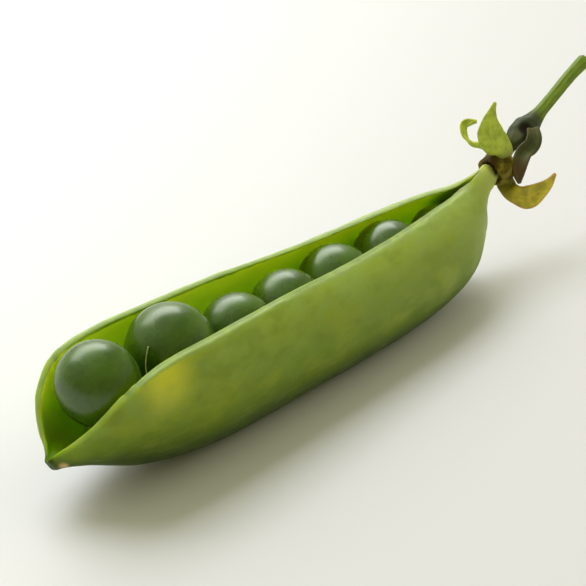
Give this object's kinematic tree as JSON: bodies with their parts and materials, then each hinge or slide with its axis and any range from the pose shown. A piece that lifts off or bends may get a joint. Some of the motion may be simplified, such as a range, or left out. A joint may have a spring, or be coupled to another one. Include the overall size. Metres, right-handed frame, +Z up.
{
  "type": "opened pea pod",
  "caption": "Opened green pea pod lying on its back seam, with a row of round peas between its two valves, a withered calyx and a short cut stalk.",
  "frame": {"origin": "under the centre of the bounding box, at the height of the table that the pod lies on", "axes": "+X along the pod from its beak to its stalk, +Z up through the open mouth, +Y towards the far valve"},
  "size_m": [0.0878, 0.0142, 0.021],
  "materials": {
    "pod": "satin waxy green skin",
    "pea": "soft gloss",
    "stalk": "matt green",
    "ring": "dry brown, matt",
    "sepal_green": "thin leaf, matt light green",
    "sepal_yellow": "yellowed leaf, matt",
    "sepal_dark": "withered dark green, matt"
  },
  "bodies": {
    "root": {"pea_1": "pea", "pea_2": "pea", "pea_3": "pea", "pea_4": "pea", "pea_5": "pea", "pea_6": "pea", "pea_7": "pea", "pod_shell": "pod", "sepal_back": "sepal_green", "sepal_curled": "sepal_green", "sepal_drooping": "sepal_dark", "sepal_upright": "sepal_green", "sepal_yellow": "sepal_yellow", "stalk": "stalk", "withered_ring": "ring"}
  },
  "joints": []
}
